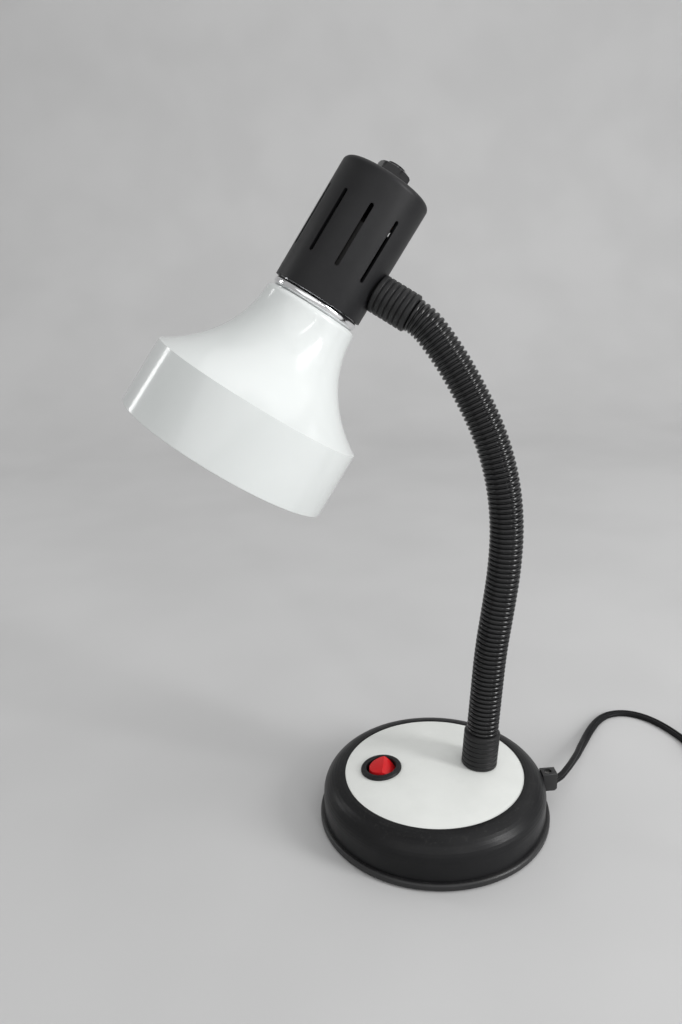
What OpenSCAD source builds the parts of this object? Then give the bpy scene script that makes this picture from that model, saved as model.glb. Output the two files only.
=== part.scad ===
// Gooseneck desk lamp: weighted round base with a rocker switch, a bendable
// ribbed neck, and a slotted lamp head with a flared shade.
// Units are millimetres. The origin is the centre of the base's underside,
// +Z is up, and the neck and the cord clamp stand on the +X side.

/* [Base] */
// Outside diameter of the base flange
base_d = 140; // [130:1:150]
// Height of the flange edge
flange_h = 5; // [4:0.5:6]
// Outside diameter of the black cover
cover_d = 135; // [128:1:138]
// Height of the disc's rim above the table
rim_z = 29; // [27:0.5:32]
// Radius of the cover's shoulder
shoulder_r = 13; // [10:0.5:14]
// Wall of the cover
cover_wall = 2.4; // [2:0.1:3]
// Diameter of the white top disc
disc_d = 108; // [104:1:110]
// How far the disc's middle stands above its rim
dome_h = 4; // [2:0.5:5]
// Thickness of the disc's sheet metal
disc_t = 1.2; // [0.8:0.1:1.5]
// Thickness of the foam pad under the base
pad_t = 0.8; // [0.6:0.1:1.5]
// Radius of the cast ballast
ballast_r = 52; // [45:1:53]
// Height of the cast ballast
ballast_h = 12; // [8:1:12]

/* [Switch] */
// Distance of the switch from the middle of the base
switch_x = 32; // [30:0.5:34]
// Diameter of the switch bezel
bezel_d = 24.8; // [24:0.2:26]
// Diameter of the rocker button
rocker_d = 16.2; // [15.6:0.2:16.4]
// Angle that the rocker turns from one side to the other
rocker_throw = 26; // [20:1:26]

/* [Neck] */
// Distance of the neck from the middle of the base
neck_x = 28; // [26:0.5:30]
// Direction in which the neck leans over, from +X
neck_azimuth = 158; // [120:1:220]
// Diameter over the ribs of the sleeve
neck_d = 19; // [18:0.5:20]
// Distance from one rib to the next
rib_pitch = 2.87; // [2.8:0.01:2.95]
// Width of the gap between two ribs
rib_gap = 1.5; // [1.4:0.05:1.6]
// Length of each end collar
collar_len = 22.4; // [20:0.1:24]
// Diameter of each end collar
collar_d = 21.5; // [21:0.5:23]

/* [Head] */
// Turn of the head about the end of the neck
head_roll = 15.2; // [0:0.1:30]
// Diameter of the slotted housing
housing_d = 52.4; // [50:0.2:56]
// Length of the housing above the neck's axis
housing_up = 52; // [48:0.5:54]
// Length of the housing below the neck's axis
housing_down = 19.5; // [19:0.5:22]
// Number of vent slots
slot_count = 8; // [6:1:8]
// Angle from one slot to the next
slot_step = 36; // [34:1:36]
// Width of a slot
slot_w = 2.3; // [1.8:0.1:3]
// Length of a slot
slot_len = 35.8; // [30:0.2:36]
// Height of the chrome ring
ring_h = 5.3; // [4:0.1:6]

/* [Shade] */
// Diameter of the shade's band
shade_d = 124.2; // [120:0.2:130]
// Length of the shade along its axis
shade_len = 95.3; // [90:0.1:98]
// Height of the straight band
band_h = 38.7; // [34:0.1:42]
// How much wider the band is at its rim
band_taper = 1.6; // [0:0.1:3]
// Wall of the shade
shade_t = 1; // [0.8:0.1:1.4]

/* [Cord] */
// Width of the flat cord
cord_w = 5.6; // [5.2:0.1:6]
// Thickness of the flat cord
cord_t = 3.2; // [3:0.1:3.6]
// Radius at the middle of the coil's turns
coil_r = 33.5; // [30:0.5:34]

/* [Hidden] */
$fn = 96;
eps = 0.05;

// Base
base_r = base_d / 2;
cover_r = cover_d / 2;
disc_r = disc_d / 2;
disc_seat_z = rim_z - disc_t;
floor_top = pad_t + 2.4;
web_gap = 0.1;
dome_r = (disc_r * disc_r + dome_h * dome_h) / (2 * dome_h);
dome_z = rim_z + dome_h - dome_r;
ledge_r = 50;
screw_r = 58;
screw_angles = [60, 180, 300];
black = [0.07, 0.07, 0.075];
white = [0.9, 0.91, 0.89];

// Neck: the angle that each stretch turns through at rest, and its ribs
neck_turns = [0, 0, -3.5, 0.5, 5, 8.5, 9.8, 9.8, 4.8, 7.7, 20.6];
stretch_ribs = [5, 9, 9, 9, 9, 9, 9, 9, 9, 9, 5];
neck_r = neck_d / 2;
sleeve_floor_r = neck_r - 1.2;
sleeve_bore_r = neck_r - 2.2;
spiral_r = 5.6;
spiral_bore_r = 3.9;
spiral_half = 11.8;
spiral_end = 8;
ferrule_r = 6.5;
stud_r = 5;
wire_bore_r = 3.2;
wire_r = 1.1;
neck_lean = asin(neck_x / dome_r);
last_stretch = len(neck_turns) - 1;

// Head, measured from the neck's axis along the head's own axis
housing_r = housing_d / 2;
housing_wall = 2;
boss_x = 23.1;
stud_end_x = 19.5;
slot_top = 34.2;
first_slot = -41.6;
ring_r = 25.3;
ring_top = -housing_down;
shade_top = ring_top - ring_h;
shade_edge = shade_top - shade_len + band_h;
shade_rim = shade_top - shade_len;
shade_r = shade_d / 2;
rim_r = shade_r + band_taper / 2;
shade_neck_r = 27.2;
holder_r = 17;
skirt_r = 19.8;
shell_r = 13.9;
cap_r = 13.1;
bulb_r = 30;
bulb_tip = -104;

// Switch, measured from the disc's surface along its normal
bezel_r = bezel_d / 2;
rocker_r = rocker_d / 2;
switch_well_r = rocker_r + 0.9;
switch_body_r = 9.9;
switch_depth = 17;
rocker_pivot = -3.5;
switch_azimuth = -4.6;
switch_turn = -8.4;

// Cord clamp
clamp_out = cover_r + 9.1;
clamp_z = 15.5;
clamp_screw_x = cover_r + 4;
clamp_hole_r = 2.3;
clamp_h = 12;

// Cord: the route lies on the table, and its points are its middle line
coil_x = 231;
coil_y = 24;
lay_z = cord_t / 2;
tie_t = 0.8;
coil_rows = 5;
coil_layers = 2;
turn_step = cord_w + 0.2;
layer_step = cord_t + 0.1;
coil_half_w = coil_rows / 2 * turn_step + 0.2;
coil_h = coil_layers * layer_step + 0.2;
coil_in_r = coil_r + 2 * turn_step;
coil_out_r = coil_r + 0.95 * turn_step;
coil_in_x = coil_x - coil_in_r;
tail_y = coil_y - coil_out_r;
tail_z = tie_t + 0.1 + layer_step + lay_z;
plug_x = 274;
plug_y = tail_y - 3;
plug_z = 6.9;
plug_len = 35;
run_points = [
    [clamp_out, -0.6, clamp_z], [81, 2.4, 15.3], [85.6, 7.6, 14.8], [90.8, 14.4, 13.7],
    [96.2, 22.2, 12.1], [101.9, 31, 9.9], [107.8, 41, 7.5], [114, 51, 5.4], [120, 60.4, 3.9],
    [126.2, 69.2, 2.9], [132.6, 77, 2.2], [139, 82.8, 1.8], [145.1, 86.2, lay_z],
    [151.8, 87.4, lay_z], [158.5, 86.5, lay_z], [164.7, 83.4, lay_z], [169.9, 78.8, lay_z],
    [174.1, 73.2, lay_z], [177.5, 66.9, lay_z], [180.3, 60.2, lay_z], [182.5, 53.4, lay_z],
    [184.2, 46.4, lay_z + 0.3], [185.3, 38.8, lay_z + 0.7], [coil_in_x, 31, lay_z + 0.9],
    [coil_in_x, coil_y, lay_z + tie_t + 0.1]
];
// The cord leaves the clamp on its edge and rolls over to lie flat
run_rolls = [90, 90, 89, 86, 79, 68, 53, 38, 23, 12, 4];

tail_points = [
    [coil_x, tail_y, tail_z], [coil_x + 10, tail_y - 0.1, tail_z],
    [coil_x + 20, tail_y - 0.7, tail_z + 0.2], [coil_x + 30, tail_y - 1.8, tail_z + 0.6],
    [coil_x + 38, tail_y - 2.7, plug_z - 0.1], [plug_x, plug_y, plug_z]
];

// ---- Helpers ----

// Point on a circle about (cx, cy)
function on_circle(cx, cy, r, a) = [cx + r * cos(a), cy + r * sin(a)];

// Points of an arc
function arc(cx, cy, r, a0, a1, n) = [for (i = [0 : n]) on_circle(cx, cy, r, a0 + (a1 - a0) * i / n)];

// Points of a domed surface under the disc, from radius r0 to r1
function dome(depth, r0, r1, n) = [
    for (i = [0 : n])
        let (r = r0 + (r1 - r0) * i / n)
        [r, dome_z + sqrt(pow(dome_r - depth, 2) - r * r)]
];

// Point of a cubic curve through four control points
function bezier(p, t) =
    pow(1 - t, 3) * p[0] + 3 * pow(1 - t, 2) * t * p[1]
    + 3 * (1 - t) * t * t * p[2] + pow(t, 3) * p[3];

// A place on the neck is [x, z, tangent angle]; this follows an arc from it
function arc_end(p, length, turn) =
    let (
        half = turn / 2,
        chord = turn == 0 ? length : length * sin(half) / (half * PI / 180)
    )
    [p[0] + chord * sin(p[2] + half), p[1] + chord * cos(p[2] + half), p[2] + turn];

// Length of one stretch of the neck
function stretch_len(k) = stretch_ribs[k] * rib_pitch;

// Place where a stretch begins
function stretch_start(k) =
    k == 0 ? [0, collar_len, 0]
    : arc_end(stretch_start(k - 1), stretch_len(k - 1), neck_turns[k - 1]);

// Place at a distance s along a stretch
function along(k, s) = arc_end(stretch_start(k), s, neck_turns[k] * s / stretch_len(k));

// Place at the housing's end of the neck
function neck_end() = arc_end(along(last_stretch, stretch_len(last_stretch)), collar_len, 0);

// Solid of revolution from a list of points
module turned(points) {
    rotate_extrude() polygon(points);
}

module tube(outer_r, inner_r, z0, z1) {
    difference() {
        translate([0, 0, z0]) cylinder(r = outer_r, h = z1 - z0);
        translate([0, 0, z0 - 1]) cylinder(r = inner_r, h = z1 - z0 + 2);
    }
}

module hex_prism(across_flats, z0, z1) {
    translate([0, 0, z0]) cylinder(d = across_flats / cos(30), h = z1 - z0, $fn = 6);
}

// Frame on the domed disc at a distance x from its middle
module on_dome(x) {
    translate([x, 0, dome_z + sqrt(dome_r * dome_r - x * x)]) rotate([0, asin(x / dome_r), 0]) children();
}

module at_neck() {
    on_dome(neck_x) rotate([0, 0, neck_azimuth]) children();
}

module at_place(p) {
    translate([p[0], 0, p[1]]) rotate([0, p[2], 0]) children();
}

module at_head() {
    at_neck() at_place(neck_end()) translate([0, 0, housing_r])
        rotate([0, 0, 180 + head_roll]) rotate([0, 90, 0]) children();
}

// Tube that follows one stretch from s0 to s1
module bent_tube(k, s0, s1, outer_r, inner_r) {
    turn = neck_turns[k] * (s1 - s0) / stretch_len(k);
    bend_r = abs(stretch_len(k) / (neck_turns[k] * PI / 180));
    at_place(along(k, s0)) {
        if (turn == 0) tube(outer_r, inner_r, 0, s1 - s0);
        if (turn != 0) translate([sign(turn) * bend_r, 0, 0]) mirror([turn > 0 ? 1 : 0, 0, 0])
            rotate([90, 0, 0]) rotate_extrude(angle = abs(turn), $fn = 360) translate([bend_r, 0])
                difference() {
                    circle(r = outer_r, $fn = 48);
                    circle(r = inner_r, $fn = 48);
                }
    }
}

// Direction of a route at point i
function heading(points, i) =
    let (d = points[min(i + 1, len(points) - 1)] - points[max(i - 1, 0)]) d / norm(d);

// Outline set square to the direction d at point p and rolled about it
function ring_at(p, d, up, outline, roll) =
    let (across = cross(d, up), s = across / norm(across), u = cross(s, d), c = cos(roll), k = sin(roll))
    [for (q = outline) p + s * (q[0] * c + q[1] * k) + u * (q[1] * c - q[0] * k)];

// Solid swept along a list of points
module swept(points, first, last, outline, up = [0, 0, 1], rolls = []) {
    n = len(points);
    m = len(outline);
    dirs = [for (i = [0 : n - 1]) i == 0 ? first : i == n - 1 ? last : heading(points, i)];
    skin = [for (i = [0 : n - 1])
        each ring_at(points[i], dirs[i], up, outline, i < len(rolls) ? rolls[i] : 0)];
    walls = [for (i = [0 : n - 2], j = [0 : m - 1])
        let (a = m * i + j, b = m * i + (j + 1) % m) each [[a, b, b + m], [a, b + m, a + m]]];
    start = [for (j = [0 : m - 1]) m - 1 - j];
    end = [for (j = [0 : m - 1]) m * (n - 1) + j];
    polyhedron(points = skin, faces = concat(walls, [start, end]));
}

// Insulated wire through a list of points
module wire(points, up = [0, 0, 1]) {
    outline = [for (a = [0 : 45 : 315]) on_circle(0, 0, wire_r, -a)];
    last = len(points) - 1;
    swept(points, heading(points, 0), heading(points, last), outline, up);
}

// ---- Base ----

module base_cover() {
    shoulder_x = cover_r - shoulder_r;
    shoulder_z = rim_z + 0.5 - shoulder_r;
    inner_r = shoulder_r - cover_wall;
    web_z = disc_seat_z - 2.2;
    inner_a = asin((web_z - shoulder_z) / inner_r);
    lip_r = disc_r + 0.3;
    color(black) difference() {
        union() {
            turned(concat(
                [[cover_r - cover_wall, flange_h], [cover_r, flange_h]],
                arc(shoulder_x, shoulder_z, shoulder_r, 0, 88, 10),
                [[lip_r, rim_z + 0.4], [lip_r, disc_seat_z], [ledge_r, disc_seat_z]],
                dome(disc_t + web_gap, ledge_r, 0, 8),
                dome(disc_t + web_gap + cover_wall, 0, ledge_r - 4, 8),
                [[ledge_r, web_z]],
                arc(shoulder_x, shoulder_z, inner_r, inner_a, 0, 8)
            ));
            for (a = screw_angles) rotate([0, 0, a]) translate([screw_r, 0, flange_h])
                cylinder(r = 4.2, h = web_z - flange_h + 1);
        }
        on_dome(neck_x) cylinder(r = stud_r + 0.2, h = 20, center = true);
        at_switch() cylinder(r = switch_body_r + 0.1, h = 20, center = true);
        translate([cover_r - 6, -3.4, clamp_z - 4.4]) cube([8, 6.8, 8.8]);
        for (a = screw_angles) rotate([0, 0, a]) translate([screw_r, 0, flange_h - 1])
            cylinder(r = 1.7, h = 15);
    }
}

module top_disc() {
    seat_r = disc_r - 2.5;
    color(white) difference() {
        turned(concat(
            [[0, dome_z + dome_r - disc_t]],
            dome(disc_t, 2, seat_r - 1.5, 8),
            [[seat_r, disc_seat_z], [disc_r - 0.3, disc_seat_z], [disc_r, disc_seat_z + 0.3]],
            dome(0, disc_r, 0, 12)
        ));
        on_dome(neck_x) cylinder(r = stud_r + 0.15, h = 20, center = true);
        at_switch() cylinder(r = switch_body_r + 0.1, h = 20, center = true);
    }
}

module base_plate() {
    rim_in = 64;
    color(black) difference() {
        turned(concat(
            [[0, pad_t], [base_r - 1, pad_t]],
            arc(base_r - 1, pad_t + 1, 1, -60, 0, 3),
            arc(base_r - 1.4, flange_h - 1.4, 1.4, 0, 90, 5),
            [[rim_in, flange_h], [rim_in, floor_top], [0, floor_top]]
        ));
        for (a = screw_angles) rotate([0, 0, a]) translate([screw_r, 0, 0]) {
            cylinder(r = 2.1, h = 10);
            cylinder(r = 4, h = pad_t + 1.2);
        }
        cylinder(r = 2.6, h = 10);
        cylinder(r = 5, h = pad_t + 1.2);
    }
}

module foam_pad() {
    color([0.1, 0.1, 0.1]) difference() {
        cylinder(r = 63, h = pad_t);
        for (a = screw_angles) rotate([0, 0, a]) translate([screw_r, 0, -1]) cylinder(r = 4.2, h = 4);
        translate([0, 0, -1]) cylinder(r = 5.2, h = 4);
    }
}

module ballast_weight() {
    notch_w = 20;
    color("dimgray") difference() {
        translate([0, 0, floor_top]) cylinder(r = ballast_r, h = ballast_h);
        rotate([0, 0, switch_azimuth]) translate([-switch_x, 0, floor_top - 1])
            cylinder(r = 14, h = ballast_h + 2);
        translate([17, -notch_w / 2, floor_top - 1]) cube([ballast_r, notch_w, ballast_h + 2]);
        translate([0, 0, floor_top - 1]) cylinder(r = 2.6, h = ballast_h + 2);
    }
}

module ballast_bolt() {
    top = floor_top + ballast_h;
    color("silver") union() {
        translate([0, 0, pad_t - 0.3]) cylinder(r = 4.5, h = 1.5);
        translate([0, 0, pad_t]) cylinder(r = 2.5, h = top + 6 - pad_t);
        hex_prism(8, top, top + 4);
    }
}

module base_screws() {
    color("silver") for (a = screw_angles) rotate([0, 0, a]) translate([screw_r, 0, 0]) {
        translate([0, 0, pad_t - 0.3]) cylinder(r = 3.5, h = 1.5);
        translate([0, 0, pad_t]) cylinder(r = 1.68, h = 15);
    }
}

module terminal_block() {
    block_z = floor_top + ballast_h;
    color("ivory") translate([-11, 19, block_z]) difference() {
        union() {
            cube([22, 14, 7]);
            for (i = [0, 1]) translate([5.5 + 11 * i, 7, 0]) cylinder(r = 4, h = 9.5);
        }
        for (i = [0, 1]) translate([5.5 + 11 * i, 7, 5]) cylinder(r = 2, h = 6);
        for (i = [0, 1]) translate([5.5 + 11 * i, -1, 3.5]) rotate([-90, 0, 0]) cylinder(r = 1.3, h = 16);
    }
}

module base_leads() {
    lead_z = floor_top + ballast_h + 3.5;
    clamp_x = clamp_out - 2.2;
    color("sienna") {
        wire([[clamp_x, 0, clamp_z + 1.35], [58.5, 0, clamp_z + 1.35], [50, 3, 16.6], [38, 9, 17.4],
            [8, 13, 17.4], [5.5, 16, lead_z], [5.5, 22, lead_z]]);
        wire([[clamp_x, 0, clamp_z - 1.35], [58.5, 0, clamp_z - 1.35], [49, -4, 14], [40, -13, 20],
            [12, -14, 20], [-6, -12, 20], [-20, -9, 19], [-23.7, -7.8, 16.5], [-24.8, -6.6, 13.3],
            [-26.6, -5.4, 11.1], [-27.8, -3.1, 10.7], [-27.2, -0.9, 10.8]]);
        wire([[-32.9, 5.7, 10.5], [-32.3, 8.3, 10.5], [-31.3, 11.5, 11.7], [-30, 14, 14.2],
            [-24, 16.6, 19.4], [-12, 16, 19], [-5.5, 16, lead_z], [-5.5, 22, lead_z]]);
        wire([[27, 1.5, 19.5], [26.8, 1.5, 14.2], [23, 4, 14.2], [18, 8, 21], [14, 16, 21],
            [14, 34, 21], [11, 38.5, 20], [6, 39, lead_z], [5.5, 35, lead_z], [5.5, 30, lead_z]]);
        wire([[26.6, -1.5, 19.5], [26.9, -1.5, 13], [30, 1, 12.6], [31, 3, 14], [30, 7.5, 20.6],
            [29, 13, 21], [20, 24, 21], [18, 37, 21], [12, 43, 20], [-2, 43, 20],
            [-5.5, 38.5, lead_z], [-5.5, 30, lead_z]]);
    }
}

// ---- Switch ----

module at_switch() {
    rotate([0, 0, switch_azimuth]) on_dome(-switch_x) rotate([0, 0, switch_turn]) children();
}

module switch_body() {
    color(black) at_switch() difference() {
        union() {
            turned([
                [0, -switch_depth], [switch_body_r, -switch_depth], [switch_body_r, 0],
                [bezel_r, 0], [bezel_r, 0.8], [bezel_r - 0.5, 1.6], [bezel_r - 1.4, 2],
                [0, 2]
            ]);
            for (side = [-1, 1]) translate([-3, side * 9 - 1.5, -12]) cube([6, 3, 6]);
        }
        translate([0, 0, -8.2]) cylinder(r = switch_well_r, h = 12);
        translate([0, 0, rocker_pivot]) rotate([90, 0, 0]) cylinder(r = 1.05, h = 19.2, center = true);
    }
}

module switch_terminals() {
    color("gold") at_switch() for (x = [-3.5, 3.5])
        translate([x - 0.4, -2.4, -switch_depth - 7]) cube([0.8, 4.8, 7]);
}

// Rocker with a ridge across its middle, pressed down on its +X side
module rocker_button() {
    ridge = 6.8;
    slope = 24;
    skirt = 2.6;
    color("red") at_switch() translate([0, 0, rocker_pivot]) rotate([0, rocker_throw / 2, 0]) {
        difference() {
            intersection() {
                translate([0, 0, -skirt]) cylinder(r = rocker_r, h = skirt + ridge);
                rotate([90, 0, 0]) cylinder(r = rocker_r + 0.7, h = 20, center = true);
            }
            for (side = [0, 180]) rotate([0, 0, side]) translate([0, -20, ridge])
                rotate([0, slope, 0]) cube([20, 40, 10]);
        }
        rotate([90, 0, 0]) cylinder(r = 1, h = 18.8, center = true);
    }
}

// ---- Cord and clamp ----

module cord_clamp() {
    inner_x = 60;
    block_w = 7.8;
    bevel = 1.4;
    bottom = clamp_z - clamp_h / 2;
    color(black) difference() {
        union() {
            translate([0, block_w / 2, 0]) rotate([90, 0, 0]) linear_extrude(block_w) polygon([
                [cover_r + 0.1, bottom + bevel], [cover_r + bevel, bottom],
                [clamp_out - bevel, bottom], [clamp_out, bottom + bevel],
                [clamp_out, bottom + clamp_h], [cover_r - 0.4, bottom + clamp_h],
                [cover_r + 0.1, clamp_z + 2.5]
            ]);
            translate([inner_x, -3.2, clamp_z - 4.2]) cube([cover_r + 1 - inner_x, 6.4, 8.4]);
        }
        translate([inner_x - 1, -cord_t / 2, clamp_z - cord_w / 2])
            cube([clamp_out - inner_x - 1, cord_t, cord_w]);
        translate([clamp_screw_x, 0, clamp_z]) cylinder(r = clamp_hole_r, h = 10);
    }
}

module clamp_screw() {
    color("silver") translate([clamp_screw_x, 0, clamp_z + cord_w / 2]) difference() {
        cylinder(r = clamp_hole_r - 0.05, h = 1.4);
        translate([-3, -0.3, 0.8]) cube([6, 0.6, 2]);
    }
}

// Flat cord with rounded edges
module flat_cord(points, first, last, rolls = []) {
    w = cord_w / 2;
    h = cord_t / 2;
    flat = 0.62 * w;
    edge = 0.42 * h;
    swept(points, first, last, [
        [w, edge], [flat, h], [-flat, h], [-w, edge], [-w, -edge], [-flat, -h], [flat, -h], [w, -edge]
    ], rolls = rolls);
}

module cord_run() {
    color(black) flat_cord(run_points, [1, 0, 0], [0, -1, 0], run_rolls);
}

module cord_coil() {
    color(black) translate([coil_x, coil_y, tie_t]) rotate_extrude()
        translate([coil_r - coil_half_w, 0]) square([2 * coil_half_w, coil_h]);
}

module cord_tail() {
    color(black) flat_cord(tail_points, [1, 0, 0], [1, 0, 0]);
}

module cord_tie() {
    inner_w = coil_half_w + 0.4;
    color(black) translate([coil_x, coil_y, 0]) rotate([0, 0, 20]) translate([coil_r, 0, 0]) difference() {
        translate([-inner_w - tie_t, -3, 0]) cube([2 * (inner_w + tie_t), 6, coil_h + 2 * tie_t]);
        translate([-inner_w, -4, tie_t - 0.05]) cube([2 * inner_w, 8, coil_h + 0.1]);
    }
}

module plug_body() {
    grip_x = 16;
    color(black) translate([plug_x, plug_y, plug_z]) hull() {
        rotate([0, 90, 0]) cylinder(r = 4.2, h = 2, $fn = 32);
        for (y = [-11, 11]) translate([grip_x, y, 0]) rotate([0, 90, 0])
            cylinder(r = 6.6, h = plug_len - grip_x, $fn = 32);
    }
}

module plug_pins() {
    pin_gap = 18.6;
    color("silver") translate([plug_x + plug_len, plug_y, plug_z]) for (y = [-pin_gap / 2, pin_gap / 2])
        translate([0, y, 0]) rotate([0, 90, 0]) {
            cylinder(r = 2, h = 18);
            translate([0, 0, 18]) cylinder(r1 = 2, r2 = 1, h = 1);
        }
}

// ---- Neck ----

// Ribbed collar standing on its own base
module collar() {
    ribs = 7;
    pitch = collar_len / ribs;
    r = collar_d / 2;
    groove = 0.7;
    difference() {
        turned(concat(
            [[ferrule_r + 0.1, 0]],
            [for (i = [0 : ribs - 1]) each [
                [r - groove, i * pitch], [r - 0.2, i * pitch + 0.35], [r, i * pitch + 0.7],
                [r, (i + 1) * pitch - 0.7], [r - 0.2, (i + 1) * pitch - 0.35]
            ]],
            [[r - groove, collar_len], [ferrule_r + 0.1, collar_len]]
        ));
        translate([0, 0, collar_len - 5]) cylinder(r = sleeve_floor_r + 0.1, h = 6);
    }
}

module lower_collar() {
    color(black) at_neck() collar();
}

module upper_collar() {
    color(black) at_neck() at_place(neck_end()) rotate([180, 0, 0]) collar();
}

// End fitting with its threaded stud; the spiral tube is crimped in it
module ferrule(stud) {
    top = collar_len + stretch_len(0) - spiral_half - 1.1;
    difference() {
        union() {
            cylinder(r = ferrule_r, h = top);
            translate([0, 0, -stud]) cylinder(r = stud_r, h = stud + 1);
        }
        translate([0, 0, -stud - 1]) cylinder(r = wire_bore_r, h = stud + top + 2);
    }
}

module lower_ferrule() {
    color("silver") at_neck() ferrule(15);
}

module upper_ferrule() {
    color("silver") at_neck() at_place(neck_end()) rotate([180, 0, 0])
        ferrule(housing_r - stud_end_x);
}

module lower_washer() {
    top = -disc_t - web_gap - cover_wall - 0.15;
    color("silver") at_neck() tube(9, stud_r + 0.1, top - 1, top);
}

module lower_nut() {
    top = -disc_t - web_gap - cover_wall - 1.15;
    color("silver") at_neck() difference() {
        hex_prism(14, top - 5, top);
        translate([0, 0, top - 6]) cylinder(r = stud_r + 0.02, h = 7);
    }
}

// One stretch of the ribbed sleeve; the end ones reach into the collars
module sleeve(k) {
    tuck = 4.8;
    step = rib_gap / 2 + 0.2;
    rib_w = rib_pitch - rib_gap;
    s0 = k == 0 ? -tuck : step;
    s1 = stretch_len(k) - (k == last_stretch ? eps : step);
    color(black) at_neck() {
        bent_tube(k, s0, s1, sleeve_floor_r, sleeve_bore_r);
        for (i = [0 : stretch_ribs[k] - 1]) at_place(along(k, (i + 0.5) * rib_pitch)) turned([
            [sleeve_bore_r + 0.3, -rib_w / 2], [neck_r - 0.35, -rib_w / 2], [neck_r, -rib_w / 2 + 0.35],
            [neck_r, rib_w / 2 - 0.35], [neck_r - 0.35, rib_w / 2], [sleeve_bore_r + 0.3, rib_w / 2]
        ]);
        if (k == last_stretch) at_place(along(k, stretch_len(k)))
            tube(sleeve_floor_r - 0.3, sleeve_bore_r - 0.2, -1.2, tuck);
    }
}

// Stretch of the steel inner tube, straight through joint k
module spiral(k) {
    top = k == last_stretch ? spiral_end : spiral_half;
    color("gray") at_neck() at_place(stretch_start(k)) tube(spiral_r, spiral_bore_r, -spiral_half, top);
}

// ---- Head ----

module lamp_housing() {
    fillet = 3.5;
    inner_r = housing_r - housing_wall;
    color(black) at_head() difference() {
        union() {
            turned(concat(
                [[inner_r, -housing_down], [housing_r, -housing_down]],
                arc(housing_r - fillet, housing_up - fillet, fillet, 0, 90, 6),
                [[0, housing_up], [0, housing_up - housing_wall]],
                arc(inner_r - fillet + 1, housing_up - housing_wall - fillet + 1, fillet - 1, 90, 0, 4)
            ));
            translate([boss_x, 0, 0]) rotate([0, 90, 0]) cylinder(r = 9.8, h = housing_r - 0.1 - boss_x);
        }
        for (i = [0 : slot_count - 1]) rotate([0, 0, first_slot - i * slot_step])
            translate([inner_r - 3, -slot_w / 2, slot_top - slot_len]) cube([8, slot_w, slot_len]);
        translate([boss_x - 2, 0, 0]) rotate([0, 90, 0]) cylinder(r = stud_r + 0.1, h = 8);
        cylinder(r = stud_r + 0.1, h = housing_up + 1);
    }
}

module upper_nut() {
    seat = housing_r - boss_x + 0.05;
    color("silver") at_neck() at_place(neck_end()) difference() {
        hex_prism(14, seat, seat + 2.6);
        translate([0, 0, seat - 1]) cylinder(r = stud_r + 0.02, h = 5);
    }
}

module top_washer() {
    color(black) at_head() tube(10, stud_r + 0.1, housing_up, housing_up + 1);
}

module top_nut() {
    color(black) at_head() translate([0, 0, housing_up + 1]) difference() {
        intersection() {
            hex_prism(17, 0, 6.5);
            turned([[0, 0], [9.9, 0], [9.9, 5.6], [8.3, 6.5], [0, 6.5]]);
        }
        translate([0, 0, -1]) cylinder(r = stud_r + 0.02, h = 9);
    }
}

module holder_nipple() {
    color("silver") at_head() tube(stud_r, 3.4, 27, housing_up + 9);
}

module lampholder() {
    bottom = -34;
    color([0.15, 0.15, 0.15]) at_head() difference() {
        turned([
            [0, 31], [9, 31], [holder_r - 2, 28], [holder_r, 25], [holder_r, -12], [skirt_r, -14],
            [skirt_r, bottom], [shell_r + 0.1, bottom], [shell_r + 0.1, 0], [0, 0]
        ]);
        translate([0, 0, 20]) cylinder(r = stud_r + 0.02, h = 12);
        translate([0, 0, -1]) cylinder(r = 2.5, h = 22);
        for (y = [-4, 4]) translate([11, y, 22]) cylinder(r = 1.2, h = 12);
    }
}

// Brass shell and the sprung centre contact of the lampholder
module lampholder_shell() {
    color("gold") at_head() {
        tube(shell_r, shell_r - 0.5, -33, -1);
        translate([0, 0, -1.6]) cylinder(r = 5.5, h = 1.6);
        tube(shell_r, 11, -1.6, -1);
    }
}

module chrome_ring() {
    mid = (ring_top + shade_top) / 2;
    color("silver") at_head() turned(concat(
        [[skirt_r + 0.3, shade_top + 0.05], [ring_r - 2.2, shade_top + 0.05]],
        arc(ring_r - 2.4, mid, 2.4, -75, 60, 8),
        [[ring_r - 1.8, ring_top - 0.05], [skirt_r + 0.3, ring_top - 0.05]]
    ));
}

// Outline of the shade's outer face from its top to its rim
function shade_line(off) = concat(
    [[skirt_r + 0.3, shade_top - off]],
    arc(shade_neck_r - 3, shade_top - 3, 3 - off, 90, 10, 4),
    [for (i = [0 : 14]) bezier([
        [shade_neck_r - off, shade_top - 3.4], [shade_neck_r + 0.8 - off, shade_top - 26],
        [42.3 - off * 0.8, shade_top - 44.7 - off], [shade_r - off, shade_edge - off * 0.6]
    ], i / 14)],
    [[rim_r - off, shade_rim]]
);

function reversed(list) = [for (i = [len(list) - 1 : -1 : 0]) list[i]];

module lamp_shade() {
    color(white) at_head() turned(concat(shade_line(0), reversed(shade_line(shade_t))));
}

module shade_ring() {
    color(white) at_head() difference() {
        turned([
            [skirt_r + 0.1, shade_top - shade_t - 0.05], [23.2, shade_top - shade_t - 0.05],
            [23.2, shade_top - shade_t - 2], [22.2, shade_top - shade_t - 2.6],
            [22.2, shade_top - shade_t - 7], [skirt_r + 0.1, shade_top - shade_t - 7]
        ]);
        for (a = [0 : 30 : 330]) rotate([0, 0, a]) translate([22.6, 0, shade_top - shade_t - 8])
            cylinder(r = 0.8, h = 5.4, $fn = 24);
    }
}

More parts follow.
